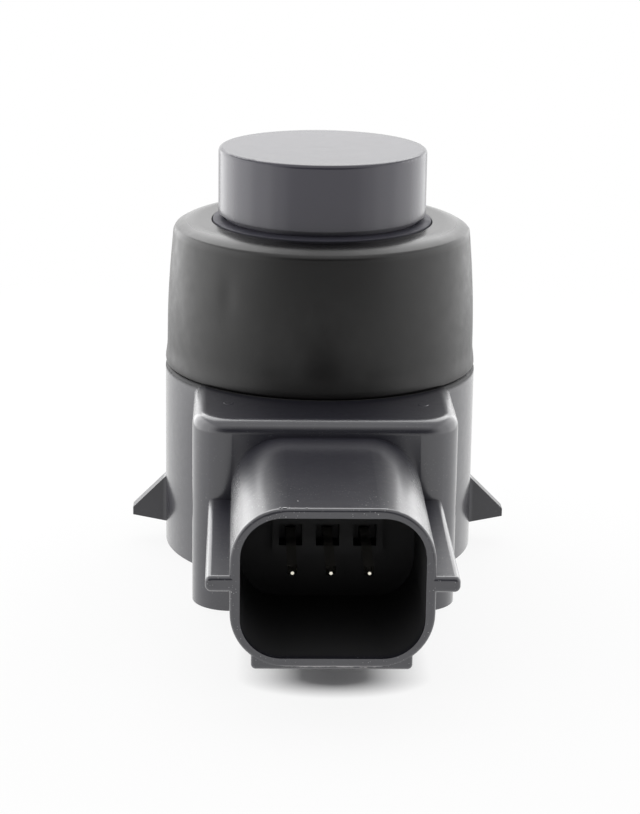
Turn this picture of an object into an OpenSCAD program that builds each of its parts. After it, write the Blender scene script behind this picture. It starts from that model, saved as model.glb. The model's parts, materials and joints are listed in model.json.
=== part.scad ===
// Ultrasonic parking sensor with a three-pin side connector.
// Millimetres. The sensor stands on its base: +Z runs up the sounding axis, the connector opens to -Y.

/* [Sounding head] */
// diameter of the membrane cup
membrane_d = 15.5; // [14:0.1:17]
// how far the membrane stands above the collar
membrane_reach = 5.54; // [4:0.02:8]
// length of the membrane cup
cup_h = 9.8; // [9:0.1:11]
// thickness of the sounding face
face_t = 0.7; // [0.5:0.05:1]
// wall of the cup round its open end
cup_wall = 1.3; // [1:0.1:1.6]
// width of the oblong pocket behind the face
pocket_w = 8.8; // [8.4:0.1:9.6]
// depth of the round mouth of the cup
cup_mouth = 3.6; // [3:0.1:4.2]
// step of the rim at the cup's open end
rim_step = 0.75; // [0.5:0.05:0.9]
// height of that rim
rim_h = 1; // [0.8:0.1:1.4]
// rounding of the membrane's edge
membrane_round = 0.3; // [0.15:0.05:0.5]
// diameter of the ceramic disc
disc_d = 8; // [6:0.1:8.2]
// thickness of the ceramic disc
disc_t = 0.35; // [0.25:0.05:0.6]
// thickness of the foam pad behind the disc
pad_t = 3.2; // [2:0.1:4]
// thickness of the carrier's flange
carrier_t = 2.9; // [2:0.1:3.4]
// depth that the carrier plugs into the cup
carrier_plug = 2.4; // [1.6:0.1:2.8]
// thickness of the carrier over its hollow
carrier_web = 1; // [0.8:0.1:1.4]
// wall of the carrier beside the throat
carrier_wall = 1.4; // [1:0.1:1.8]
// step between the cup's bore and its pocket
pocket_step = 0.2; // [0.1:0.05:0.4]
// how much wider the foam pad is than the disc
pad_over = 0.2; // [0.1:0.05:0.4]

/* [Soft rings] */
// thickness of the decoupling ring between cup and neck
ring_t = 1.45; // [1.2:0.05:1.8]
// part of that thickness which shows as a lip round the membrane
lip_t = 0.4; // [0.3:0.05:0.6]
// height of the lip above the collar
lip_reach = 0.6; // [0.3:0.1:1.4]
// depth of the groove in the cup that the ring grips
grip = 0.4; // [0.3:0.05:0.5]
// air between the lip and the painted part of the cup
lip_air = 0.1; // [0.06:0.01:0.2]
// height of the rubber collar
collar_h = 10.8; // [9:0.1:13]
// thickness of the collar round the neck
collar_t = 1.48; // [1:0.02:1.8]
// how far the collar's foot stands proud of the body
collar_proud = 0; // [0:0.01:0.3]
// how much the collar draws in towards its top
collar_draw = 0.6; // [0.3:0.05:0.9]
// swell of the collar at mid-height
collar_swell = 0.1; // [0:0.02:0.2]
// thickness of the collar's top over the neck
collar_top = 1.2; // [0.8:0.1:1.6]
// rounding of the collar's edges
collar_round = 0.7; // [0.4:0.05:0.9]

/* [Body] */
// height of the body up to the shoulder
body_h = 14; // [13:0.1:16]
// rounding of the shoulder's edge under the collar
shoulder_round = 0.3; // [0.2:0.05:0.5]
// wall of the neck
neck_wall = 1; // [0.8:0.05:1.4]
// wall of the body round the lid and board
body_wall = 1.6; // [1.4:0.05:1.8]
// step of the wall that the board rests against
board_step = 0.6; // [0.4:0.05:0.8]
// ledge in the neck that the carrier sits on
throat_ledge = 1.2; // [0.9:0.05:1.5]
// thickness of the shoulder above the electronics
roof_t = 1.6; // [1.2:0.1:2]
// width of the front block
block_w = 18.8; // [18:0.1:19.6]
// front face of the block from the sounding axis
block_reach = 17; // [16.4:0.1:18.5]
// rounding of the block's upright corners
block_corner = 2.8; // [2:0.05:3]
// rounding of the block's top edges
block_round = 0.95; // [0.4:0.05:1.2]

/* [Latch barbs] */
// distance over the tips of the barbs
barb_span = 28.4; // [27:0.1:30]
// height of the catching face above the base
barb_z = 1.8; // [1.2:0.1:3]
// height of the barb's ramp
barb_h = 3.1; // [2:0.1:4]
// length of a barb along the body
barb_l = 1.2; // [1:0.1:7]
// drop of the catching face towards the body
barb_drop = 0.5; // [0:0.05:0.8]
// blunt height of the barb's tip
barb_tip = 0.6; // [0.1:0.05:0.8]
// depth of the barb's root in the body
barb_root = 1; // [0.8:0.1:1.4]

/* [Connector] */
// length of the shroud in front of the block
shroud_l = 16; // [14:0.1:20]
// inner width of the socket
socket_w = 12; // [11.4:0.1:13]
// inner height of the socket
socket_h = 9.55; // [9.2:0.05:10]
// depth of the socket
socket_depth = 12; // [10:0.1:12.6]
// inner corner radius of the socket
socket_corner = 2.75; // [2:0.05:3]
// outer corner radius of the shroud
shroud_corner = 3.7; // [3:0.05:4]
// rounding of the outer edge of the mouth
mouth_round = 0.25; // [0.15:0.05:0.4]
// wall of the shroud
shroud_wall = 0.65; // [0.5:0.05:0.9]
// underside of the shroud above the base
shroud_z = 2; // [1.6:0.1:2.4]
// how far a side rail stands out
rail_w = 1.58; // [1:0.02:2]
// thickness of a side rail
rail_t = 1.08; // [0.8:0.02:1.4]
// height of the rail's middle below the socket's middle
rail_drop = -0.3; // [-0.6:0.05:0.6]
// rounding of the rail's long outer edges
rail_round = 0.4; // [0.2:0.02:0.5]
// rounding of the rail's front end
rail_nose = 0.3; // [0.15:0.05:0.35]
// width of the foot under the shroud
foot_w = 10.5; // [9.8:0.1:11]
// thickness of the foot
foot_t = 1.3; // [1.1:0.05:1.5]
// how far the foot stands below the shroud
foot_proud = 0.15; // [0.04:0.01:0.2]
// how far the foot ends behind the mouth
foot_back = 0.06; // [0.02:0.01:0.2]
// rounding of the foot's corners
foot_round = 0.32; // [0.2:0.02:0.4]
// distance between neighbouring pins
pin_pitch = 2.54; // [2.2:0.02:2.8]
// width of a square pin
pin_w = 0.64; // [0.5:0.02:0.7]
// pin row below the socket's middle
pin_drop = 0.32; // [0.2:0.02:0.5]
// distance of the pin tips behind the mouth
pin_recess = 4; // [3:0.1:5]
// length of the pin's tapered tip
pin_taper = 0.8; // [0.5:0.05:1.2]
// diameter of the pin's blunt end
pin_nose = 0.22; // [0.2:0.02:0.4]
// height of the pocket round a pin's root
window_h = 1.55; // [1.4:0.05:1.8]
// width of that pocket
window_w = 1.6; // [1.4:0.02:1.7]
// middle of the pockets above the pins
window_rise = 0.27; // [0:0.01:0.3]
// bar under and over the pockets
window_bar = 0.6; // [0.4:0.02:0.7]
// bar beside the outer pockets
window_side = 0.44; // [0.3:0.02:0.6]
// how far the block round the pin roots stands out from the socket's back
root_l = 0.9; // [0.5:0.1:1.5]
// depth of the pockets
window_depth = 1.6; // [1:0.1:2]

/* [Lid and board] */
// thickness of the rear lid
lid_t = 1.5; // [1.2:0.1:2]
// height of the lid's posts under the board
post_h = 2.4; // [2:0.1:2.8]
// diameter of a lid post
post_d = 1.8; // [1.4:0.1:2.4]
// thickness of the circuit board
board_t = 1; // [0.8:0.1:1.2]
// pin end below the board
pin_tail = 0.6; // [0.4:0.05:0.8]
// room between the block's inner wall and the middle of a pin's leg
leg_room = 1.6; // [1.2:0.1:2]
// diameter of a lead
lead_d = 0.5; // [0.4:0.02:0.7]
// offset of the signal lead from the axis
signal_x = 2.6; // [2:0.1:3]
// diameter of the transformer core
core_d = 6; // [5:0.1:6.4]
// height of the transformer core
core_h = 5.2; // [4:0.1:5.4]
// thickness of the core's two flanges
core_flange = 1; // [0.8:0.1:1.2]
// diameter of the core's post
core_post = 2.8; // [2:0.1:3.2]
// diameter of the storage capacitor
storage_d = 4; // [3:0.1:4.4]
// height of the storage capacitor
storage_h = 4.8; // [3.5:0.1:5.2]
// side of the driver chip
chip_w = 5; // [4:0.1:5.4]
// thickness of the driver chip
chip_t = 0.9; // [0.7:0.05:1.2]
// length of the tuning capacitor
tuning_l = 3.2; // [2.4:0.1:3.6]
// width of the tuning capacitor
tuning_w = 1.6; // [1.2:0.1:2]
// height of the tuning capacitor
tuning_t = 1.2; // [0.8:0.1:1.6]
// length of the diode
diode_l = 2.6; // [2:0.1:3]
// width of the diode
diode_w = 1.6; // [1.2:0.1:1.8]
// height of the diode
diode_t = 1; // [0.8:0.1:1.2]
// length of a small ceramic capacitor
ceramic_l = 1.6; // [1.2:0.1:2]
// width of a small ceramic capacitor
ceramic_w = 0.8; // [0.6:0.1:1]
// length of a small resistor
resistor_l = 1; // [0.8:0.1:1.2]
// width of a small resistor
resistor_w = 0.5; // [0.4:0.05:0.6]
// thickness of a small resistor
resistor_t = 0.35; // [0.25:0.05:0.45]
// distance kept between the pieces on the board
part_gap = 0.8; // [0.6:0.05:1]

/* [Fits] */
// air round a piece that is slipped in
slip = 0.05; // [0.02:0.01:0.1]

/* [Hidden] */
$fn = 96;
cut = 0.5;
half = 0.5;
fillet_share = 0.45;
membrane_r = membrane_d * half;
rim_r = membrane_r + rim_step;
bore_r = membrane_r + ring_t;
neck_r = bore_r + neck_wall;
body_r = neck_r + collar_t;
collar_r = body_r + collar_proud;
collar_z = body_h + collar_h;
neck_z = collar_z - collar_top;
membrane_z = collar_z + membrane_reach;
cup_z = membrane_z - cup_h;
ledge_z = cup_z - carrier_t;
lip_r = membrane_r + lip_t;
grip_r = membrane_r - grip;
lip_z = collar_z + lip_reach;
throat_r = rim_r - throat_ledge;
cup_bore_r = membrane_r - cup_wall;
pocket_r = cup_bore_r - pocket_step;
step_z = cup_z + cup_mouth;
disc_z = membrane_z - face_t - disc_t;
pad_z = disc_z - pad_t;
pad_d = disc_d + pad_over;
earth_y = (pocket_w * half + cup_bore_r) * half;
board_z = lid_t + post_h;
board_top = board_z + board_t;
roof_z = body_h - roof_t;
mouth_y = block_reach + shroud_l;
shroud_root = block_corner * half;
back_y = mouth_y - socket_depth;
tip_y = mouth_y - pin_recess;
socket_z = shroud_z + shroud_wall + socket_h * half;
pin_z = socket_z - pin_drop;
leg_y = block_reach - body_wall - board_step - leg_room;
shroud_w = socket_w + 2 * shroud_wall;
shroud_h = socket_h + 2 * shroud_wall;
window_z = pin_z + window_rise;
root_h = window_h + 2 * window_bar;
root_w = 2 * pin_pitch + window_w + 2 * window_side;
sides = [-1, 1];
rows = [-1, 0, 1];
room_r = body_r - body_wall - board_step;
room_x = block_w * half - body_wall - board_step;
ceramic_y = leg_y - pin_w * half - part_gap - ceramic_w * half;
chip_y = ceramic_y - ceramic_w * half - part_gap - chip_w * half;
resistor_y = ceramic_y - ceramic_w * half - part_gap;
diode_y = resistor_y - resistor_w - 2 * part_gap - diode_w * half;
post_x = room_x - post_d * half;
posts = [[-0.78, 0.39] * room_r, [0.78, 0.39] * room_r, [-post_x, -ceramic_y], [post_x, -ceramic_y]];
core_at = [-0.49, 0.09] * room_r;
storage_at = [0.55, 0.42] * room_r;
tuning_at = [0.62, -0.17] * room_r;
chip_at = [chip_w / 4, -chip_y];
diode_at = [-0.47 * room_r, -diode_y];
resistor_x = room_x - part_gap - resistor_l * half;
resistor_at = [for (x = [-resistor_x, resistor_x], y = [0, resistor_w + part_gap]) [x, y - resistor_y]];
ceramic_far = [0.28, 0.76] * room_r;
ceramic_at = [[-ceramic_far[0], ceramic_far[1]], ceramic_far, [-pin_pitch, -ceramic_y], [pin_pitch, -ceramic_y]];

black = [0.13, 0.13, 0.14];
rubber = [0.09, 0.08, 0.08];
paint = [0.2, 0.22, 0.26];
plate = [0.8, 0.72, 0.5];
cream = [0.85, 0.83, 0.74];
board_green = [0.08, 0.3, 0.17];
copper = [0.7, 0.4, 0.22];
ferrite = [0.22, 0.22, 0.23];

// plan of the front block, open to the round body behind it
module block_plan(half_w, reach, r) {
    translate([-half_w, r - reach])
        square([2 * half_w, reach - r]);
    translate([r - half_w, -reach])
        square([2 * (half_w - r), reach]);
    for (s = sides)
        translate([s * (half_w - r), r - reach])
            circle(r = r);
}

// plan of the whole body, drawn in by the given amount
module body_plan(inset) {
    circle(r = body_r - inset);
    block_plan(block_w * half - inset, block_reach - inset, max(block_corner - inset, body_wall / 8));
}

// section of an edge strip: t deep, h high, outer top edge rounded
module edge_section(t, h, r) {
    square([t, h - r]);
    square([t - r, h]);
    intersection() {
        square([t, h]);
        translate([t - r, h - r])
            circle(r = r);
    }
}

// rectangle with round corners, centred
module round_rect(w, h, r) {
    square([w - 2 * r, h], center = true);
    square([w, h - 2 * r], center = true);
    for (x = sides, y = sides)
        translate([x * (w * half - r), y * (h * half - r)])
            circle(r = r);
}

// block centred on its plan, with rounded upright edges and a rounded top edge,
// where no rounding takes up more than its share of the wall
module soft_block(w, d, h, upright, top) {
    corner = min(upright, fillet_share * min(w, d));
    edge = min(top, 2 * fillet_share * corner);
    x = w * half - corner;
    y = d * half - corner;
    translate([-x, -y, 0])
        cube([2 * x, 2 * y, h]);
    for (s = sides) {
        translate([s * x, y, 0])
            rotate([90, 0, 0])
                linear_extrude(2 * y)
                    mirror([s < 0 ? 1 : 0, 0])
                        edge_section(corner, h, edge);
        translate([-x, s * y, 0])
            rotate([90, 0, 90])
                linear_extrude(2 * x)
                    mirror([s < 0 ? 1 : 0, 0])
                        edge_section(corner, h, edge);
        for (t = sides)
            translate([s * x, t * y, 0])
                rotate([0, 0, t > 0 ? 45 - s * 45 : 225 + s * 45])
                    rotate_extrude(angle = 90)
                        edge_section(corner, h, edge);
    }
}

// snap barb on one side: ramp facing the membrane, catching face towards the base
module barb(s) {
    root = body_r - barb_root;
    drop = barb_drop * (barb_span * half - root) / (barb_span * half - body_r);
    translate([0, barb_l * half, 0])
        rotate([90, 0, 0])
            linear_extrude(barb_l)
                polygon([[s * root, barb_z - drop], [s * barb_span * half, barb_z],
                    [s * barb_span * half, barb_z + barb_tip],
                    [s * body_r, barb_z + barb_h], [s * root, barb_z + barb_h]]);
}

// lays a block along the connector, its far end towards the mouth
module along_connector(z) {
    translate([0, -block_reach + shroud_root, z])
        rotate([90, 0, 0])
            children();
}

// shroud with its two side rails and its foot
module shroud() {
    l = shroud_l + shroud_root;
    along_connector(socket_z)
        soft_block(shroud_w, shroud_h, l, shroud_corner, mouth_round);
    along_connector(socket_z - rail_drop)
        soft_block(shroud_w + 2 * rail_w, rail_t, l, rail_round, rail_nose);
    along_connector(shroud_z - foot_proud + foot_t * half)
        soft_block(foot_w, foot_t, l - foot_back, foot_round, mouth_round);
}

// block on the socket's back, round the roots of the pins
module root_block() {
    translate([-root_w * half, -back_y - root_l, window_z - root_h * half])
        cube([root_w, root_l + cut, root_h]);
}

module housing() {
    color(black)
    difference() {
        union() {
            rotate_extrude()
                edge_section(body_r, body_h, shoulder_round);
            translate([0, -block_reach * half, 0])
                soft_block(block_w, block_reach, body_h, block_corner, block_round);
            cylinder(r = neck_r, h = neck_z);
            for (s = sides)
                barb(s);
            shroud();
        }
        // seat of the lid, board room and the narrower room above it
        translate([0, 0, -cut])
            linear_extrude(lid_t + cut)
                body_plan(body_wall * half);
        translate([0, 0, lid_t - cut])
            linear_extrude(board_top - lid_t + cut)
                body_plan(body_wall);
        linear_extrude(roof_z)
            body_plan(body_wall + board_step);
        // throat and bore of the neck
        cylinder(r = throat_r, h = membrane_z);
        translate([0, 0, ledge_z])
            cylinder(r = bore_r, h = membrane_z);
        // socket, with the block left standing at its back
        difference() {
            translate([0, -back_y, socket_z])
                rotate([90, 0, 0])
                    linear_extrude(socket_depth + cut)
                        round_rect(socket_w, socket_h, socket_corner);
            root_block();
        }
        // pockets round the pins, and the ways of the pins into the board room
        for (i = rows) {
            translate([i * pin_pitch - window_w * half, -back_y - root_l - cut, window_z - window_h * half])
                cube([window_w, window_depth + cut, window_h]);
            translate([i * pin_pitch - pin_w * half - slip, -back_y - cut, pin_z - pin_w * half - slip])
                cube([pin_w + 2 * slip, back_y, pin_w + 2 * slip]);
        }
    }
}

module rear_cover() {
    color(black) {
        linear_extrude(lid_t)
            body_plan(body_wall * half + slip);
        for (p = posts)
            translate([p[0], p[1], 0])
                cylinder(d = post_d, h = board_z);
    }
}

module seal_collar() {
    mid_z = body_h + collar_h * half;
    top_r = collar_r - collar_draw;
    mid_r = collar_r - collar_draw * half + collar_swell;
    color(rubber)
    rotate_extrude()
        difference() {
            union() {
                polygon([[0, body_h], [collar_r - collar_round, body_h],
                    [collar_r, body_h + collar_round], [mid_r, mid_z],
                    [top_r, collar_z - collar_round], [top_r - collar_round, collar_z], [0, collar_z]]);
                translate([collar_r - collar_round, body_h + collar_round])
                    circle(r = collar_round);
                translate([top_r - collar_round, collar_z - collar_round])
                    circle(r = collar_round);
            }
            translate([0, body_h - cut])
                square([neck_r, collar_h - collar_top + cut]);
            translate([0, body_h - cut])
                square([lip_r, collar_h + 2 * cut]);
        }
}

module decoupling_ring() {
    r = lip_t * half;
    color(rubber)
    rotate_extrude() {
        translate([rim_r, ledge_z])
            square([bore_r - rim_r, cup_z + rim_h - ledge_z]);
        translate([grip_r, cup_z + rim_h])
            square([bore_r - grip_r, neck_z - cup_z - rim_h]);
        translate([grip_r, neck_z - cut])
            square([lip_r - grip_r, lip_z - r - neck_z + cut]);
        translate([grip_r, lip_z - r - cut])
            square([lip_r - r - grip_r, r + cut]);
        translate([lip_r - r, lip_z - r])
            circle(r = r);
    }
}

module membrane_cup() {
    color(paint)
    difference() {
        rotate_extrude() {
            translate([0, cup_z])
                square([rim_r, rim_h]);
            translate([0, cup_z])
                square([grip_r, cup_h - face_t]);
            translate([0, lip_z + lip_air])
                edge_section(membrane_r, membrane_z - lip_z - lip_air, membrane_round);
        }
        translate([0, 0, cup_z - cut])
            cylinder(r = cup_bore_r, h = cup_mouth + cut);
        linear_extrude(membrane_z - face_t)
            intersection() {
                circle(r = pocket_r);
                square([membrane_d, pocket_w], center = true);
            }
    }
}

module piezo_disc() {
    color(cream)
    translate([0, 0, disc_z])
        cylinder(d = disc_d, h = disc_t);
}

module damping_pad() {
    color(ferrite)
    difference() {
        translate([0, 0, pad_z])
            cylinder(d = pad_d, h = pad_t);
        translate([signal_x, 0, 0])
            cylinder(d = lead_d + 2 * slip, h = membrane_z);
    }
}

module contact_carrier() {
    color(cream)
    difference() {
        union() {
            translate([0, 0, ledge_z])
                cylinder(r = rim_r - slip, h = carrier_t);
            translate([0, 0, ledge_z])
                cylinder(r = cup_bore_r - slip, h = carrier_t + carrier_plug);
        }
        // hollow under the flange, then the two lead holes
        translate([0, 0, ledge_z - cut])
            cylinder(r = throat_r - carrier_wall, h = carrier_t - carrier_web + cut);
        translate([signal_x, 0, 0])
            cylinder(d = lead_d + 2 * slip, h = membrane_z);
        translate([0, earth_y, 0])
            cylinder(d = lead_d + 2 * slip, h = membrane_z);
    }
}

module signal_lead() {
    color(copper)
    translate([signal_x, 0, board_z - pin_tail])
        cylinder(d = lead_d, h = disc_z - board_z + pin_tail);
}

module earth_lead() {
    color(copper)
    translate([0, earth_y, board_z - pin_tail])
        cylinder(d = lead_d, h = step_z - board_z + pin_tail);
}

module circuit_board() {
    color(board_green)
    translate([0, 0, board_z])
        linear_extrude(board_t)
            difference() {
                body_plan(body_wall + slip);
                for (i = rows)
                    translate([i * pin_pitch, -leg_y])
                        square(pin_w + 2 * slip, center = true);
                translate([signal_x, 0])
                    circle(d = lead_d + 2 * slip);
                translate([0, earth_y])
                    circle(d = lead_d + 2 * slip);
            }
}

// a flat chip of the given size on the board
module chip(at, size) {
    translate([at[0] - size[0] * half, at[1] - size[1] * half, board_top])
        cube(size);
}

module driver_chip() {
    color(ferrite)
    chip(chip_at, [chip_w, chip_w, chip_t]);
}

module coil_core() {
    color(ferrite)
    translate([core_at[0], core_at[1], board_top]) {
        cylinder(d = core_d, h = core_flange);
        cylinder(d = core_post, h = core_h);
        translate([0, 0, core_h - core_flange])
            cylinder(d = core_d, h = core_flange);
    }
}

module coil_winding() {
    color(copper)
    translate([core_at[0], core_at[1], board_top + core_flange])
        difference() {
            cylinder(d = core_d - 2 * lead_d, h = core_h - 2 * core_flange);
            translate([0, 0, -cut])
                cylinder(d = core_post + 2 * slip, h = core_h);
        }
}

module storage_capacitor() {
    color([0.75, 0.76, 0.78])
    translate([storage_at[0], storage_at[1], board_top])
        cylinder(d = storage_d, h = storage_h);
}

module tuning_capacitor() {
    color(cream)
    chip(tuning_at, [tuning_l, tuning_w, tuning_t]);
}

module blocking_diode() {
    color(ferrite)
    chip(diode_at, [diode_l, diode_w, diode_t]);
}

module chip_resistors() {
    color(ferrite)
    for (p = resistor_at)
        chip(p, [resistor_l, resistor_w, resistor_t]);
}

module chip_capacitors() {
    color(cream)
    for (p = ceramic_at)
        chip(p, [ceramic_l, ceramic_w, ceramic_w]);
}

// square pin: blunt nose in the socket, bent down through the board behind the block's wall
module contact_pin(i) {
    end = leg_y - pin_w * half;
    low = board_z - pin_tail;
    neck = tip_y - pin_taper;
    color(plate)
    translate([i * pin_pitch, 0, 0]) {
        rotate([90, 0, -90])
            linear_extrude(pin_w, center = true)
                polygon([[end, low], [end + pin_w, low], [end + pin_w, pin_z - pin_w * half],
                    [neck, pin_z - pin_w * half], [neck, pin_z + pin_w * half], [end, pin_z + pin_w * half]]);
        translate([0, -neck, pin_z])
            rotate([90, 0, 0])
                intersection() {
                    linear_extrude(pin_taper)
                        square(pin_w, center = true);
                    cylinder(r1 = pin_w * 3 / 4, r2 = pin_nose * half, h = pin_taper);
                }
    }
}

module left_pin() {
    contact_pin(-1);
}

module middle_pin() {
    contact_pin(0);
}

module right_pin() {
    contact_pin(1);
}

housing();
rear_cover();
seal_collar();
decoupling_ring();
membrane_cup();
piezo_disc();
damping_pad();
contact_carrier();
signal_lead();
earth_lead();
circuit_board();
driver_chip();
coil_core();
coil_winding();
storage_capacitor();
tuning_capacitor();
blocking_diode();
chip_resistors();
chip_capacitors();
left_pin();
middle_pin();
right_pin();
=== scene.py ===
"""Parking sensor standing on its base: finishes, fine moulded detail, light tent and camera."""
import json
import math

import bpy
import numpy as np
from mathutils import Matrix, Vector


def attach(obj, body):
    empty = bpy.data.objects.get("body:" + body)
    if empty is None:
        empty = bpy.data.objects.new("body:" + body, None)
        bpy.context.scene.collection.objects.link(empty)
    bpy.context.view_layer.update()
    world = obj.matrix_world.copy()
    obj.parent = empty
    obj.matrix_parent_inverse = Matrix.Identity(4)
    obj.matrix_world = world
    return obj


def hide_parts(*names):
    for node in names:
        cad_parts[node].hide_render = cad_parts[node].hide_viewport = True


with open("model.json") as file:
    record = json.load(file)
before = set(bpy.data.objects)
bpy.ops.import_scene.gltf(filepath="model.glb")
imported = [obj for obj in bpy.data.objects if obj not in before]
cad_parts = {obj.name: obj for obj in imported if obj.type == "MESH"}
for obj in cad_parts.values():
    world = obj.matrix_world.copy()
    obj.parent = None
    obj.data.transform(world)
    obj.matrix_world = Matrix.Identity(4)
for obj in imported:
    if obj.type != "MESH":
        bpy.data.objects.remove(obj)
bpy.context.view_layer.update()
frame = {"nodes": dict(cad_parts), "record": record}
nodes = frame["nodes"]

MM = 0.001

# Camera, as fitted to the photograph: millimetres, degrees and pixels of the 640 x 814 frame, and the
# nearest and furthest distance that it takes in, in metres.
CAMERA_SWING = -1.85
CAMERA_BACK = 188.0
CAMERA_UP = 63.33
CAMERA_AIM = (0.06, 0.0, 10.28)
CAMERA_ROLL = 0.84
FOCAL_PX = 2558.5
FRAME_LONG_PX = 814
SENSOR_MM = 36.0
CLIP_NEAR, CLIP_FAR = 0.01, 10.0

# Floor: half its width in metres, its tone, and in millimetres the distances between which it turns
# white, with the whiteness at both. The shadow spot has its middle in X and Y, its half-widths to the
# side, to the front and to the back, and its edge in shares of these.
FLOOR_HALF = 1.2
FLOOR_TONE = (0.88, 0.88, 0.88)
FLOOR_ROUGH = 0.9
FLOOR_NEAR = (30.0, 90.0, 0.88, 1.0)
SHADOW_SPOT = (0.26, -29.6)
SHADOW_HALF = (6.5, 3.7, 34.0)
SHADOW_EDGE = (0.32, 1.0)

# Tent: its brightness as light, and in the dark patch on the connector's side, which reaches from one to
# the other depth of direction.
TENT_LIGHT = 0.5
TENT_FRONT = 0.06
FRONT_PATCH = (-0.9, -0.4)

# Side lamps: distance and height of their middle, height of the panel, side and brightness of each row,
# and for each stretch along the depth its two ends in metres and its share of the brightness, which falls
# off towards the connector.
SIDE_OUT, SIDE_MIDDLE, SIDE_HIGH = 0.058, 0.031, 0.06
SIDE_ROWS = {"panel_left": (-1, 1.85), "panel_right": (1, 1.2)}
SIDE_STRETCHES = (
    (0.05, 0.11, 1.0), (0.02, 0.05, 0.9), (-0.01, 0.02, 0.7), (-0.04, -0.01, 0.42), (-0.07, -0.04, 0.18),
)

# Other lamps: place and aim, width and height in metres, and brightness.
PANELS = {
    "panel_back": ((0.0, 0.3, 0.1), (0.0, 0.0, 0.1), 0.4, 0.2, 0.5),
    "panel_high": ((0.0, 0.3, 0.35), (0.0, 0.0, 0.0), 0.5, 0.4, 2.1),
    "panel_fill": ((0.0, -0.3, 0.35), (0.0, 0.0, 0.0), 0.5, 0.3, 0.3),
}

# Collar, in millimetres: corners of its outline as radius, height and rounding; least radius, foot and
# top of its wall; swell of the wall; height, spread and size of the flare; least radius, size and lean of
# the wave; size and half-width of the parting lines; angle, height, half-width, half-height and depth of
# the dent.
COLLAR_OUTLINE = (
    (11.5, 14.0, 0.26), (11.06, 24.36, 0.45), (9.95, 25.0, 2.6), (8.2, 24.9, 0.15),
    (8.2, 23.6, 0.03), (10.21, 23.6, 0.03), (10.21, 14.0, 0.03),
)
COLLAR_WALL = (10.9, 14.0, 24.3)
COLLAR_SWELL = 0.16
COLLAR_FLARE = (14.3, 0.75, 0.14)
COLLAR_WAVE = (9.6, 0.014, 0.05)
COLLAR_SEED, COLLAR_PITCHES = 11, (2, 3, 5, 7, 11)
COLLAR_PARTING = (0.025, 0.12)
COLLAR_DENT = (math.radians(232.0), 20.9, 0.7, 1.4, 0.09)

# Ring, in millimetres: corners as above; size of the wave at its lip, the height from which it comes in,
# the height over which it does so, and its least radius.
RING_OUTLINE = (
    (9.2, 17.64, 0.05), (9.2, 23.6, 0.05), (8.15, 23.6, 0.03), (8.15, 24.98, 0.12),
    (7.36, 25.12, 0.05), (7.36, 21.54, 0.05), (8.5, 21.54, 0.05), (8.5, 17.64, 0.05),
)
RING_WAVE = (0.02, 24.5, 0.4, 7.8)
RING_SEED, RING_PITCHES = 12, (2, 3, 5, 8, 13)

# Steps of the turned pieces: round the axis, on each rounding, and the longest between two points.
TURN_STEPS = 288
ARC_POINTS = 11
OUTLINE_STEP = 0.35

# Flash under the mouth, in millimetres: ends, number and spread of the points along it, depth, height and
# wander of the line; its radius, the even share of that, and the share of its length left blunt at each
# end.
SEAM_FROM, SEAM_TO, SEAM_POINTS, SEAM_SPREAD = -3.43, 3.45, 160, 6.9
SEAM_DEPTH, SEAM_HEIGHT, SEAM_WANDER = -32.943, 2.1, 0.02
SEAM_SEED, SEAM_PITCHES = 21, (2, 3, 5, 9)
FLASH_THICK, FLASH_EVEN, FLASH_BLUNT = 0.055, 0.65, 0.02
FLASH_SEED, FLASH_PITCHES = 22, (3, 5, 9, 14, 23)
FLASH_SIDES = 10

# Crumbs on the mouth's upper edge and a burr at its right, in millimetres: places and half-sizes. Their
# rings and sides, and how lumpy they are.
CRUMBS = (
    ((-3.15, -32.8, 12.84), (0.15, 0.08, 0.05)), ((-2.86, -32.76, 12.85), (0.06, 0.05, 0.04)),
    ((-3.45, -32.74, 12.84), (0.07, 0.06, 0.04)), ((-1.75, -32.79, 12.84), (0.08, 0.05, 0.035)),
    ((-2.3, -31.4, 12.85), (0.05, 0.05, 0.035)), ((2.05, -32.2, 12.85), (0.04, 0.05, 0.03)),
)
BURR_RIGHT = ((5.98, -32.93, 9.85), (0.05, 0.05, 0.12))
CRUMB_SEED, BURR_SEED = 31, 41
BURR_RINGS, BURR_SIDES = 12, 20
BURR_LUMP, BURR_PITCHES = 0.15, (1, 2, 3, 5)

# Ejector marks, in millimetres: places, radius, lift, how far the rim is sunk and how deep the closing
# point is; in shares, where the edge begins to fall, the hollow and the innermost ring.
EJECTOR_PLACES = {"left": (-6.85, -12.27, 14.0), "right": (7.02, -12.49, 14.0)}
EJECTOR_RADIUS, EJECTOR_LIFT, EJECTOR_SUNK, EJECTOR_DEEP = 0.42, 0.03, 0.004, 0.02
EJECTOR_EDGE, EJECTOR_HOLLOW, EJECTOR_INNER = 0.72, 0.35, 0.05
EJECTOR_RINGS, EJECTOR_SIDES = 18, 48

# Where the housing's finish changes, in millimetres, each as the span over which the change comes in.
# Socket: the height of its middle, half its straight parts, the corner between its inner and outer skin,
# the mouth and the back. Barbs: distance to the side. Shoulder under the collar: inner and outer radius,
# and height. In the socket, on the barbs and on the shoulder the finish turns matte, and a plain near-black
# colour is painted there as shade. Flash and crumbs: heights and depths where a pale colour is laid on them.
SOCKET_MIDDLE, SOCKET_STRAIGHT, SOCKET_CORNER = 7.425, (3.12, 1.9), (3.25, 3.15)
SOCKET_MOUTH, SOCKET_BACK = (-32.8, -32.2), (-17.6, -17.3)
BARB_FROM, BARB_MATTE_AND_SHADE = (11.75, 11.95), 0.5
SHOULDER_FROM, SHOULDER_TO, SHOULDER_UP = (11.25, 11.35), (11.72, 11.76), (13.55, 13.75)
FLASH_CRUMB_PLACES = (((2.18, 2.14), (-32.955, -32.97)), ((12.855, 12.87), (-28.0, -28.5)))
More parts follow.
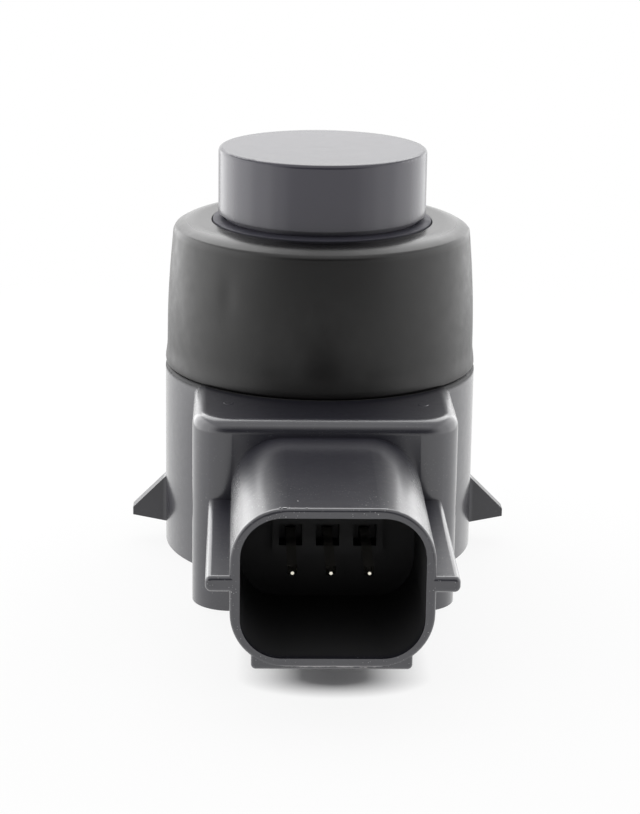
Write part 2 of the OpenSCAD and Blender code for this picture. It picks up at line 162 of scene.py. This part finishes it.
FLASH_CRUMB_PALE, FLASH_CRUMB_SHARE = (0.7, 0.7, 0.71), 0.8
# Painted shade: plain near-black colour for the socket, the barbs and the shoulder under the collar.
PAINTED_SHADE_BLACK = (0.034, 0.034, 0.036)
DULL_ROUGH = 0.6

# Dust: features to the millimetre of its clouds and the span of them that it comes in with, the depths
# between which it grows and its share at the back; for each kind of speck how many to the millimetre,
# size and colour.
DUST_CLOUDS, DUST_SPAN = 0.6, (0.38, 0.58)
DUST_DEPTH, DUST_BACK = (-21.0, -30.0), 0.2
DUST_SPECKS = ((5.0, 0.18, (0.3, 0.3, 0.31)), (1.8, 0.085, (0.5, 0.5, 0.5)))

# Collar's finish, in millimetres: heights between which its top begins, radii between which the polished
# rim comes in and the flat top ends, with the rim's coat and the top's roughness.
COLLAR_HIGH, COLLAR_RIM, COLLAR_TOP = (23.86, 24.56), (9.2, 10.4), (10.1, 10.5)
COLLAR_RIM_COAT, COLLAR_TOP_ROUGH = 0.35, 0.27

# Grain: the span of a noise that is spread over a finish's roughness, the full core of a speck as a share
# of its size, and how far a plain finish's roughness strays.
GRAIN_SPAN = (0.3, 0.7)
SPECK_CORE = 0.6
ROUGH_STRAY = 0.15


# Finishes

class ShaderTree:
    """A tree of shader nodes under construction: adds nodes and wires their sockets."""

    def __init__(self, tree):
        self.tree = tree

    def add(self, kind, **settings):
        """A new node with its settings."""
        node = self.tree.nodes.new(kind)
        for key, value in settings.items():
            setattr(node, key, value)
        return node

    def wire(self, start, end):
        """Links an output to an input."""
        self.tree.links.new(start, end)

    def math(self, operation, *terms):
        """One step of arithmetic on outputs and plain numbers."""
        step = self.add("ShaderNodeMath", operation=operation)
        for socket, term in zip(step.inputs, terms):
            if isinstance(term, float):
                socket.default_value = term
            else:
                self.wire(term, socket)
        return step.outputs["Value"]

    def times(self, a, b):
        """The product of two values."""
        return self.math("MULTIPLY", a, b)

    def ramp(self, value, slope, start):
        """A value times a slope plus a start."""
        return self.math("MULTIPLY_ADD", value, slope, start)

    def larger(self, a, b):
        """The larger of two values."""
        return self.math("MAXIMUM", a, b)

    def band(self, value, low, high, out_low, out_high, **settings):
        """Maps low..high of a value onto out_low..out_high, clamped."""
        span = self.add("ShaderNodeMapRange", **settings)
        for key, number in (("From Min", low), ("From Max", high), ("To Min", out_low), ("To Max", out_high)):
            span.inputs[key].default_value = number
        self.wire(value, span.inputs["Value"])
        return span.outputs["Result"]

    def length(self, **parts):
        """Length of the vector with the given parts, the others zero."""
        vector = self.add("ShaderNodeCombineXYZ")
        for axis, value in parts.items():
            self.wire(value, vector.inputs[axis])
        length = self.add("ShaderNodeVectorMath", operation="LENGTH")
        self.wire(vector.outputs["Vector"], length.inputs[0])
        return length.outputs["Value"]

    def seen_by_eye(self):
        """1 for camera, glossy and transmission rays, which see the white surroundings, and 0 for the rest;
        and the same for camera rays alone."""
        path = self.add("ShaderNodeLightPath").outputs
        indirect = self.larger(path["Is Glossy Ray"], path["Is Transmission Ray"])
        return self.larger(path["Is Camera Ray"], indirect), path["Is Camera Ray"]


class Finish(ShaderTree):
    """A node material under construction, its patterns laid out in the piece's own frame."""

    def __init__(self, name):
        self.material = bpy.data.materials.new(name)
        self.material.use_nodes = True
        super().__init__(self.material.node_tree)
        self.shader = self.tree.nodes["Principled BSDF"]
        self.place = self.add("ShaderNodeTexCoord").outputs["Object"]

    def place_mm(self):
        """The place in millimetres, as outputs X, Y and Z."""
        scale = self.add("ShaderNodeVectorMath", operation="SCALE")
        scale.inputs["Scale"].default_value = 1.0 / MM
        self.wire(self.place, scale.inputs[0])
        parts = self.add("ShaderNodeSeparateXYZ")
        self.wire(scale.outputs["Vector"], parts.inputs["Vector"])
        return parts.outputs

    def set(self, **values):
        """Sets constant shader values, the socket named with its spaces as underscores."""
        for key, value in values.items():
            self.shader.inputs[key.replace("_", " ")].default_value = value

    def noise(self, per_mm, detail=3.0, rough=0.55, stretch=None):
        """Cloudy grain with so many features to the millimetre, drawn out along an axis if asked."""
        grain = self.add("ShaderNodeTexNoise")
        grain.inputs["Scale"].default_value = per_mm / MM
        grain.inputs["Detail"].default_value = detail
        grain.inputs["Roughness"].default_value = rough
        start = self.place
        if stretch:
            turn = self.add("ShaderNodeMapping")
            turn.inputs["Scale"].default_value = stretch
            self.wire(start, turn.inputs["Vector"])
            start = turn.outputs["Vector"]
        self.wire(start, grain.inputs["Vector"])
        return grain.outputs["Fac"]

    def specks(self, per_mm, size):
        """Sparse round specks: 1 inside a speck, 0 between them."""
        cells = self.add("ShaderNodeTexVoronoi")
        cells.inputs["Scale"].default_value = per_mm / MM
        cells.inputs["Randomness"].default_value = 1.0
        self.wire(self.place, cells.inputs["Vector"])
        return self.band(cells.outputs["Distance"], size, size * SPECK_CORE, 0.0, 1.0)

    def toward(self, value, amount, number):
        """A value drawn towards a number by an amount."""
        mix = self.add("ShaderNodeMix", data_type="FLOAT")
        self.wire(value, mix.inputs["A"])
        self.wire(amount, mix.inputs["Factor"])
        mix.inputs["B"].default_value = number
        return mix.outputs["Result"]

    def tint(self, amount, dark, light):
        """Colour between dark and light by an amount."""
        mix = self.add("ShaderNodeMix", data_type="RGBA")
        mix.inputs["A"].default_value = (*dark, 1.0)
        mix.inputs["B"].default_value = (*light, 1.0)
        self.wire(amount, mix.inputs["Factor"])
        return mix.outputs["Result"]

    def over(self, below, amount, colour):
        """A colour laid over another by an amount."""
        mix = self.add("ShaderNodeMix", data_type="RGBA")
        mix.inputs["B"].default_value = (*colour, 1.0)
        self.wire(below, mix.inputs["A"])
        self.wire(amount, mix.inputs["Factor"])
        return mix.outputs["Result"]

    def colour(self, result):
        """Gives the shader its colour."""
        self.wire(result, self.shader.inputs["Base Color"])

    def gloss(self, value, low, high, where=None, other=DULL_ROUGH):
        """Roughness that runs from low to high with a grain, drawn towards another where an amount says."""
        rough = self.band(value, *GRAIN_SPAN, low, high)
        if where:
            rough = self.toward(rough, where, other)
        self.wire(rough, self.shader.inputs["Roughness"])

    def relief(self, value, depth_mm, strength):
        """Fine relief of the given depth."""
        bump = self.add("ShaderNodeBump")
        bump.inputs["Strength"].default_value = strength
        bump.inputs["Distance"].default_value = depth_mm * MM
        self.wire(value, bump.inputs["Height"])
        self.wire(bump.outputs["Normal"], self.shader.inputs["Normal"])


def matte_painted_shade_places(f, part):
    """Painted shade with a matte finish: 1 in the socket and on the round shoulder under the collar, where
    shade falls, less on the barbs, which are shaded down too, 0 elsewhere. In the socket, the distance
    outside a rounded rectangle's straight part, in the plane of the mouth, is under the corner, and the depth
    lies between rim and block."""
    wide, tall = SOCKET_STRAIGHT
    aside = f.math("ABSOLUTE", part["X"])
    above = f.math("ABSOLUTE", f.ramp(part["Z"], 1.0, -SOCKET_MIDDLE))
    past = f.length(X=f.larger(f.ramp(aside, 1.0, -wide), 0.0), Z=f.larger(f.ramp(above, 1.0, -tall), 0.0))
    inside = f.times(f.band(part["Y"], *SOCKET_MOUTH, 0.0, 1.0), f.band(part["Y"], *SOCKET_BACK, 1.0, 0.0))
    socket = f.times(f.band(past, *SOCKET_CORNER, 0.0, 1.0), inside)
    barbs = f.band(aside, *BARB_FROM, 0.0, BARB_MATTE_AND_SHADE)
    reach = f.length(X=part["X"], Y=part["Y"])
    edge = f.times(f.band(reach, *SHOULDER_FROM, 0.0, 1.0), f.band(reach, *SHOULDER_TO, 1.0, 0.0))
    shoulder = f.times(edge, f.band(part["Z"], *SHOULDER_UP, 0.0, 1.0))
    return f.larger(f.larger(socket, barbs), shoulder)


def moulded_plastic(name, dark, light, low_rough, high_rough, dust, painted_shade_and_marks=False):
    """Black moulding: cloudy satin gloss, spark-eroded grain and a little pale dust. The housing's moulding
    is matte in its socket, on its barbs and on the shoulder under the collar, where a plain near-black colour
    is painted as shade and covers the dust, and it is pale where the flash and the crumbs stand out of the
    mouth's edge."""
    f = Finish(name)
    part = f.place_mm()
    depth, height = part["Y"], part["Z"]
    skin = f.tint(f.noise(per_mm=0.35, detail=4.0), dark, light)
    clouds = f.band(f.noise(DUST_CLOUDS), *DUST_SPAN, 0.0, dust)
    lint = f.times(clouds, f.band(depth, *DUST_DEPTH, DUST_BACK, 1.0))
    for per_mm, size, pale in DUST_SPECKS:
        skin = f.over(skin, f.times(f.specks(per_mm, size), lint), pale)
    dull = matte_painted_shade_places(f, part) if painted_shade_and_marks else None
    if painted_shade_and_marks:
        # painted shade: plain near-black colour in the socket, on the barbs and on the shoulder under the
        # collar
        skin = f.over(skin, dull, PAINTED_SHADE_BLACK)
        # a pale colour laid on the front of the flash and on the tops of the crumbs
        for level, ahead in FLASH_CRUMB_PLACES:
            torn = f.times(f.band(height, *level, 0.0, 1.0), f.band(depth, *ahead, 0.0, FLASH_CRUMB_SHARE))
            skin = f.over(skin, torn, FLASH_CRUMB_PALE)
    f.colour(skin)
    f.gloss(f.noise(per_mm=1.6, detail=5.0), low_rough, high_rough, dull)
    f.relief(f.noise(per_mm=7.0, detail=2.0), depth_mm=0.004, strength=0.08)
    f.set(IOR=1.5, Coat_Weight=1.0, Coat_Roughness=0.19, Coat_IOR=1.65)
    if painted_shade_and_marks:
        f.wire(f.ramp(dull, -1.0, 1.0), f.shader.inputs["Coat Weight"])
    return f.material


def collar_rubber():
    """Warm near-black rubber, dull, with faint drawn-out mould marks and a rim that handling has polished."""
    f = Finish("collar_rubber")
    part = f.place_mm()
    reach = f.length(X=part["X"], Y=part["Y"])
    high = f.band(part["Z"], *COLLAR_HIGH, 0.0, 1.0)
    rim = f.times(high, f.band(reach, *COLLAR_RIM, 0.0, COLLAR_RIM_COAT))
    top = f.times(high, f.band(reach, *COLLAR_TOP, 1.0, 0.0))
    f.wire(rim, f.shader.inputs["Coat Weight"])
    marks = f.noise(per_mm=0.5, detail=5.0, stretch=(1.0, 1.0, 0.25))
    f.colour(f.tint(marks, dark=(0.0038, 0.0033, 0.0031), light=(0.006, 0.0054, 0.0052)))
    f.gloss(f.noise(per_mm=1.1, detail=4.0), low=0.32, high=0.4, where=top, other=COLLAR_TOP_ROUGH)
    f.relief(f.noise(per_mm=9.0, detail=2.0), depth_mm=0.006, strength=0.4)
    f.set(IOR=1.48, Coat_Roughness=0.3, Coat_IOR=1.5)
    return f.material


def ring_silicone():
    """Dull blue-black silicone with a fine skin."""
    f = Finish("ring_silicone")
    f.colour(f.tint(f.noise(per_mm=0.8), dark=(0.056, 0.055, 0.072), light=(0.068, 0.067, 0.088)))
    f.gloss(f.noise(per_mm=1.5), low=0.5, high=0.62)
    f.relief(f.noise(per_mm=8.0), depth_mm=0.004, strength=0.3)
    f.set(IOR=1.4)
    return f.material


def cup_paint():
    """Dark blue-grey satin paint with the slightest orange peel."""
    f = Finish("cup_paint")
    f.colour(f.tint(f.noise(per_mm=0.6, detail=4.0), dark=(0.035, 0.032, 0.05), light=(0.039, 0.036, 0.055)))
    f.gloss(f.noise(per_mm=1.2, detail=4.0), low=0.21, high=0.24)
    f.relief(f.noise(per_mm=1.5, detail=1.0), depth_mm=0.004, strength=0.1)
    f.set(IOR=1.66)
    return f.material


def plain_finish(name, dark, light, rough, metal=0.0, per_mm=2.0):
    """Finish of a small or hidden piece: two near tones in a fine grain, with a matching gloss."""
    f = Finish(name)
    grain = f.noise(per_mm, detail=4.0)
    f.colour(f.tint(grain, dark, light))
    f.gloss(grain, rough * (1 - ROUGH_STRAY), rough * (1 + ROUGH_STRAY))
    f.relief(grain, depth_mm=0.004, strength=0.3)
    f.set(Metallic=metal)
    return f.material


HOUSING = dict(dark=(0.017, 0.0165, 0.026), light=(0.023, 0.022, 0.034),
               low_rough=0.38, high_rough=0.44, dust=0.9)
COVER = dict(dark=(0.025, 0.0245, 0.03), light=(0.032, 0.0315, 0.039),
             low_rough=0.26, high_rough=0.34, dust=0.2)
PLAIN = {
    "disc_ceramic": dict(dark=(0.66, 0.62, 0.52), light=(0.76, 0.73, 0.63), rough=0.5),
    "pad_foam": dict(dark=(0.09, 0.09, 0.1), light=(0.14, 0.14, 0.15), rough=0.9, per_mm=4.0),
    "carrier_plastic": dict(dark=(0.64, 0.62, 0.54), light=(0.72, 0.7, 0.62), rough=0.5),
    "lead_copper": dict(dark=(0.6, 0.3, 0.15), light=(0.7, 0.38, 0.2), rough=0.35, metal=1.0),
    "board_laminate": dict(dark=(0.02, 0.13, 0.05), light=(0.04, 0.18, 0.08), rough=0.4, per_mm=3.0),
    "chip_resin": dict(dark=(0.024, 0.024, 0.025), light=(0.034, 0.034, 0.034), rough=0.6, per_mm=5.0),
    "coil_ferrite": dict(dark=(0.06, 0.06, 0.065), light=(0.09, 0.09, 0.095), rough=0.55, per_mm=4.0),
    "can_metal": dict(dark=(0.66, 0.67, 0.69), light=(0.74, 0.75, 0.77), rough=0.3, metal=1.0),
    "chip_ceramic": dict(dark=(0.48, 0.41, 0.3), light=(0.58, 0.5, 0.38), rough=0.5, per_mm=4.0),
    "pin_plating": dict(dark=(0.76, 0.72, 0.6), light=(0.86, 0.83, 0.73), rough=0.2, metal=1.0, per_mm=5.0),
}
FINISHES = {
    "housing_plastic": moulded_plastic("housing_plastic", **HOUSING, painted_shade_and_marks=True),
    "cover_plastic": moulded_plastic("cover_plastic", **COVER),
    "collar_rubber": collar_rubber(),
    "ring_silicone": ring_silicone(),
    "cup_paint": cup_paint(),
    **{name: plain_finish(name, **values) for name, values in PLAIN.items()},
}


def dress_cad_nodes():
    """Gives each carried-over solid the finish of its slot in the record."""
    for part in frame["record"]["subparts"]:
        mesh = nodes[part["node"]].data
        mesh.materials.clear()
        mesh.materials.append(FINISHES[part["material_slot"]])


# New pieces

def add_piece(name, points, faces, slot, stands_for=None):
    """Puts computed points, in millimetres, into a smooth mesh that rides on the sensor."""
    mesh = bpy.data.meshes.new(name)
    mesh.from_pydata((np.asarray(points) * MM).tolist(), [], faces)
    mesh.polygons.foreach_set("use_smooth", np.ones(len(mesh.polygons), dtype=bool))
    mesh.materials.append(FINISHES[slot])
    piece = bpy.data.objects.new(name, mesh)
    bpy.context.scene.collection.objects.link(piece)
    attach(piece, "root")
    if stands_for:
        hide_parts(stands_for)


def ripple(place, seed, pitches):
    """Sum of sine waves of whole-number pitches along a place, with seeded phases and heights that fall with
    the pitch, scaled to stay about within one."""
    pitches = np.asarray(pitches, dtype=float)
    phase = np.random.default_rng(seed).uniform(0, 2 * np.pi, len(pitches))
    height = np.sqrt(pitches[0] / pitches)
    waves = np.sin(np.asarray(place)[..., None] * pitches + phase) * height
    return waves.sum(axis=-1) / np.sqrt((height ** 2).sum())


def rounded_outline(corners):
    """Closed outline through (radius, height, rounding) corners: at each corner an arc that touches both
    sides, and between the arcs points no further than a step apart."""
    table = np.array(corners)
    spot, rounding = table[:, :2], table[:, 2]
    back, ahead = np.roll(spot, 1, axis=0) - spot, np.roll(spot, -1, axis=0) - spot
    back /= np.linalg.norm(back, axis=1, keepdims=True)
    ahead /= np.linalg.norm(ahead, axis=1, keepdims=True)
    half = np.arccos((back * ahead).sum(axis=1)) / 2
    centre = spot + (back + ahead) * (rounding / np.sin(2 * half))[:, None]
    reach = (rounding / np.tan(half))[:, None]
    start, end = spot + back * reach - centre, spot + ahead * reach - centre
    share, sweep = np.linspace(0, 1, ARC_POINTS)[None, :, None], (np.pi - 2 * half)[:, None, None]
    arcs = np.sin((1 - share) * sweep) * start[:, None] + np.sin(share * sweep) * end[:, None]
    line = (centre[:, None] + arcs / np.sin(sweep)).reshape(-1, 2)
    gap = np.roll(line, -1, axis=0) - line
    counts = np.maximum(1, np.ceil(np.linalg.norm(gap, axis=1) / OUTLINE_STEP)).astype(int)
    which = np.repeat(np.arange(len(line)), counts)
    along = (np.arange(counts.sum()) - np.repeat(np.cumsum(counts) - counts, counts)) / counts[which]
    return line[which] + gap[which] * along[:, None]


def turned(name, outline, change, slot, stands_for):
    """Closed outline turned about the sounding axis: the radius is a function of the place on the outline
    and of the angle, the outline's own radius plus a change worked out from angle, radius and height."""
    count = len(outline)
    angle = np.linspace(0, 2 * np.pi, TURN_STEPS, endpoint=False)[:, None]
    radius = outline[:, 0] + change(angle, *outline.T)
    height = np.broadcast_to(outline[:, 1], radius.shape)
    points = np.stack([radius * np.cos(angle), radius * np.sin(angle), height], axis=-1).reshape(-1, 3)
    row, place = np.indices((TURN_STEPS, count))
    next_row, next_place = (row + 1) % TURN_STEPS * count, (place + 1) % count
    row = row * count
    faces = np.stack([row + place, next_row + place, next_row + next_place, row + next_place], axis=-1)
    add_piece(name, points, faces.reshape(-1, 4).tolist(), slot, stands_for)


def lofted(name, rings, first, last, slot):
    """Closed skin over rings of points, drawn together to a first and a last point."""
    count, around = rings.shape[:2]
    points = np.concatenate([rings.reshape(-1, 3), [first], [last]])
    row, place = np.indices((count - 1, around))
    row, turn = row * around, (place + 1) % around
    quads = np.stack([row + place, row + turn, row + around + turn, row + around + place], axis=-1)
    edge = np.arange(around)
    shift, pole, top = (edge + 1) % around, np.full(around, count * around), (count - 1) * around
    fans = np.concatenate([np.stack([shift, edge, pole], axis=-1),
                           np.stack([top + edge, top + shift, pole + 1], axis=-1)])
    add_piece(name, points, quads.reshape(-1, 4).tolist() + fans.tolist(), slot)


def collar_change(angle, radius, height):
    """Hand-soft sleeve: a slight swell of the wall, a flare over its foot, two parting lines at the sides, a
    shallow dent and a low wave all round, each a change of the radius by angle and height."""
    least, low, high = COLLAR_WALL
    rise = np.clip((height - low) / (high - low), 0, 1)
    foot, spread, flare = COLLAR_FLARE
    swell = COLLAR_SWELL * np.sin(np.pi * rise) + flare * np.exp(-((height - foot) / spread) ** 2)
    line, half = COLLAR_PARTING
    parting = line * np.exp(-(np.sin(angle) * radius / half) ** 2)
    turn, level, wide, tall, deep = COLLAR_DENT
    dent = deep * np.exp(-((angle - turn) * radius / wide) ** 2 - ((height - level) / tall) ** 2)
    inner, size, lean = COLLAR_WAVE
    wave = size * ripple(angle + lean * height, COLLAR_SEED, COLLAR_PITCHES) * (radius > inner)
    return (swell + parting - dent) * (radius > least) + wave


def ring_change(angle, radius, height):
    """Silicone lip that stands a little unevenly: a low wave of the radius round the ring's upper edge."""
    size, foot, rise, least = RING_WAVE
    upper = np.clip((height - foot) / rise, 0, 1) * (radius > least)
    return size * ripple(angle, RING_SEED, RING_PITCHES) * upper


def seam_path():
    """Line along the rounded lower edge of the mouth, wandering a little in height."""
    along = np.linspace(SEAM_FROM, SEAM_TO, SEAM_POINTS)
    wander = ripple((along - SEAM_FROM) / SEAM_SPREAD * np.pi, SEAM_SEED, SEAM_PITCHES)
    return np.stack([along, np.full(SEAM_POINTS, SEAM_DEPTH), SEAM_HEIGHT + SEAM_WANDER * wander], axis=-1)


def flash_line(name, path):
    """Ridge of moulding flash: a circle carried along a path, its radius uneven and tapering to both ends."""
    way = np.gradient(path, axis=0)
    way /= np.linalg.norm(way, axis=1, keepdims=True)
    side = np.cross(way, (0.0, 1.0, 0.0))
    side /= np.linalg.norm(side, axis=1, keepdims=True)
    lift = np.cross(way, side)
    share = np.linspace(0, 1, len(path))
    taper = np.sqrt(np.sin(np.pi * np.clip(share, FLASH_BLUNT, 1 - FLASH_BLUNT)))
    uneven = np.clip(ripple(share * 2 * np.pi, FLASH_SEED, FLASH_PITCHES), -1, 1)
    radius = FLASH_THICK * taper * (FLASH_EVEN + (1 - FLASH_EVEN) * uneven)
    turn = np.linspace(0, 2 * np.pi, FLASH_SIDES, endpoint=False)[None, :, None]
    circle = np.cos(turn) * side[:, None] + np.sin(turn) * lift[:, None]
    rings = path[:, None] + radius[:, None, None] * circle
    lofted(name, rings, path[0], path[-1], "housing_plastic")


def burr(name, place, size, seed):
    """Crumb of torn plastic: an ellipsoid whose radius ripples with both angles."""
    lift = np.linspace(-np.pi / 2, np.pi / 2, BURR_RINGS + 2)[1:-1, None]
    turn = np.linspace(0, 2 * np.pi, BURR_SIDES, endpoint=False)[None, :]
    lump = 1 + BURR_LUMP * np.clip(ripple(turn + lift, seed, BURR_PITCHES), -1, 1) * np.cos(lift)
    flat = lump * np.cos(lift)
    ball = np.stack([flat * np.cos(turn), flat * np.sin(turn), lump * np.sin(lift)], axis=-1)
    place, size = np.array(place), np.array(size)
    pole = size * (0, 0, 1)
    lofted(name, place + ball * size, place - pole, place + pole, "housing_plastic")


def ejector_mark(name, place):
    """Print of an ejector pin: a low round button, hollowed a little, its height falling smoothly to its
    edge."""
    share = np.linspace(1, EJECTOR_INNER, EJECTOR_RINGS)
    edge = np.clip((share - EJECTOR_EDGE) / (1 - EJECTOR_EDGE), 0, 1)
    fall, hollow = edge ** 2 * (3 - 2 * edge), EJECTOR_HOLLOW * (1 - share) ** 2
    height = EJECTOR_LIFT * (1 - fall - hollow) - EJECTOR_SUNK
    turn = np.linspace(0, 2 * np.pi, EJECTOR_SIDES, endpoint=False)
    reach = EJECTOR_RADIUS * share[:, None]
    level = np.broadcast_to(height[:, None], (EJECTOR_RINGS, EJECTOR_SIDES))
    rings = np.stack([reach * np.cos(turn), reach * np.sin(turn), level], axis=-1)
    place = np.array(place)
    lofted(name, place + rings, place - (0, 0, EJECTOR_DEEP), place + (0, 0, height[-1]), "housing_plastic")


def soft_and_fine_pieces():
    """Adds the soft pieces that stand for solids, and the fine marks that moulding has left."""
    turned("collar_sleeve", rounded_outline(COLLAR_OUTLINE), collar_change, "collar_rubber", "seal_collar")
    turned("ring_lip", rounded_outline(RING_OUTLINE), ring_change, "ring_silicone", "decoupling_ring")
    flash_line("seam_flash", seam_path())
    for number, (place, size) in enumerate(CRUMBS):
        burr(f"crumb_{number}", place, size, CRUMB_SEED + number)
    burr("burr_right", *BURR_RIGHT, BURR_SEED)
    for side, place in EJECTOR_PLACES.items():
        ejector_mark(f"ejector_mark_{side}", place)


# Floor, light and camera

def white_floor():
    """A broad pale sheet that keeps the shadow round the sensor and is plain white further out."""
    mesh = bpy.data.meshes.new("floor")
    corners = [(x * FLOOR_HALF, y * FLOOR_HALF, 0) for x, y in ((-1, -1), (1, -1), (1, 1), (-1, 1))]
    mesh.from_pydata(corners, [], [(0, 1, 2, 3)])
    floor = bpy.data.objects.new("floor", mesh)
    bpy.context.scene.collection.objects.link(floor)
    f = Finish("floor_white")
    f.set(Base_Color=(*FLOOR_TONE, 1.0), Roughness=FLOOR_ROUGH)
    part = f.place_mm()
    by_eye, by_camera = f.seen_by_eye()
    dim = f.add("ShaderNodeMix", data_type="FLOAT")
    dim.inputs["A"].default_value = 1.0
    f.wire(by_camera, dim.inputs["Factor"])
    f.wire(f.band(f.length(X=part["X"], Y=part["Y"]), *FLOOR_NEAR), dim.inputs["B"])
    # distance from the spot in its own half-widths: short towards the mouth, long back under the body
    (spot_x, spot_y), (side, front, back) = SHADOW_SPOT, SHADOW_HALF
    across = f.ramp(part["X"], 1.0 / side, -spot_x / side)
    ahead, behind = (f.ramp(part["Y"], 1.0 / half, -spot_y / half) for half in (-front, back))
    spot = f.length(X=across, Y=f.larger(ahead, behind))
    white = f.times(dim.outputs["Result"], f.band(spot, *SHADOW_EDGE, 0.0, 1.0))
    glow, mix = f.add("ShaderNodeEmission"), f.add("ShaderNodeMixShader")
    f.wire(f.times(white, by_eye), mix.inputs["Fac"])
    f.wire(f.shader.outputs["BSDF"], mix.inputs[1])
    f.wire(glow.outputs["Emission"], mix.inputs[2])
    f.wire(mix.outputs["Shader"], f.tree.nodes["Material Output"].inputs["Surface"])
    mesh.materials.append(f.material)


def light_tent():
    """White surroundings with a dark patch where the photographer stands, which only gloss and light take
    up."""
    world = bpy.data.worlds.new("light_tent")
    bpy.context.scene.world = world
    world.use_nodes = True
    t = ShaderTree(world.node_tree)
    turn = t.add("ShaderNodeSeparateXYZ")
    t.wire(t.add("ShaderNodeTexCoord").outputs["Generated"], turn.inputs["Vector"])
    front = t.band(turn.outputs["Y"], *FRONT_PATCH, TENT_FRONT, 1.0, interpolation_type="SMOOTHSTEP")
    by_eye, by_camera = t.seen_by_eye()
    tent, seen = t.tree.nodes["Background"], t.add("ShaderNodeBackground")
    tent.inputs["Strength"].default_value = TENT_LIGHT
    t.wire(front, tent.inputs["Color"])
    t.wire(t.larger(front, by_camera), seen.inputs["Color"])
    mix = t.add("ShaderNodeMixShader")
    t.wire(by_eye, mix.inputs["Fac"])
    t.wire(tent.outputs["Background"], mix.inputs[1])
    t.wire(seen.outputs["Background"], mix.inputs[2])
    t.wire(mix.outputs["Shader"], t.tree.nodes["World Output"].inputs["Surface"])


def soft_box(name, place, aim, width, height, brightness):
    """A soft lamp panel at a place, facing an aim, in metres; its power follows from area and brightness."""
    lamp = bpy.data.lights.new(name, "AREA")
    lamp.shape = "RECTANGLE"
    lamp.size, lamp.size_y = width, height
    lamp.energy = brightness * math.pi * width * height
    holder = bpy.data.objects.new(name, lamp)
    holder.location = place
    holder.rotation_euler = (Vector(aim) - Vector(place)).to_track_quat("-Z", "Y").to_euler()
    holder.visible_camera = False
    bpy.context.scene.collection.objects.link(holder)


def side_lamps(name, side, brightness):
    """A row of lamp panels on one side, facing the sensor, each stretch with its share of the brightness."""
    for number, (near, far, share) in enumerate(SIDE_STRETCHES):
        middle = (near + far) / 2
        soft_box(f"{name}_{number}", (side * SIDE_OUT, middle, SIDE_MIDDLE), (0.0, middle, SIDE_MIDDLE),
                 far - near, SIDE_HIGH, brightness * share)


def photo_camera():
    """The photograph's camera: placed by swing, distance and height, aimed at a point, rolled a little."""
    swing = math.radians(CAMERA_SWING)
    eye = Vector((math.sin(swing) * CAMERA_BACK, -math.cos(swing) * CAMERA_BACK, CAMERA_UP)) * MM
    ahead = (Vector(CAMERA_AIM) * MM - eye).normalized()
    right = ahead.cross(Vector((0, 0, 1))).normalized()
    up = right.cross(ahead)
    roll = math.radians(CAMERA_ROLL)
    right, up = right * math.cos(roll) + up * math.sin(roll), up * math.cos(roll) - right * math.sin(roll)
    data = bpy.data.cameras.new("camera")
    data.sensor_width = SENSOR_MM
    data.lens = FOCAL_PX / FRAME_LONG_PX * SENSOR_MM
    data.clip_start, data.clip_end = CLIP_NEAR, CLIP_FAR
    camera = bpy.data.objects.new("camera", data)
    camera.matrix_world = Matrix.Translation(eye) @ Matrix((right, up, -ahead)).transposed().to_4x4()
    bpy.context.scene.collection.objects.link(camera)
    bpy.context.scene.camera = camera


dress_cad_nodes()
soft_and_fine_pieces()
white_floor()
light_tent()
for row_name, (row_side, row_brightness) in SIDE_ROWS.items():
    side_lamps(row_name, row_side, row_brightness)
for panel_name, panel in PANELS.items():
    soft_box(panel_name, *panel)
photo_camera()
bpy.context.scene.view_settings.view_transform = "Standard"
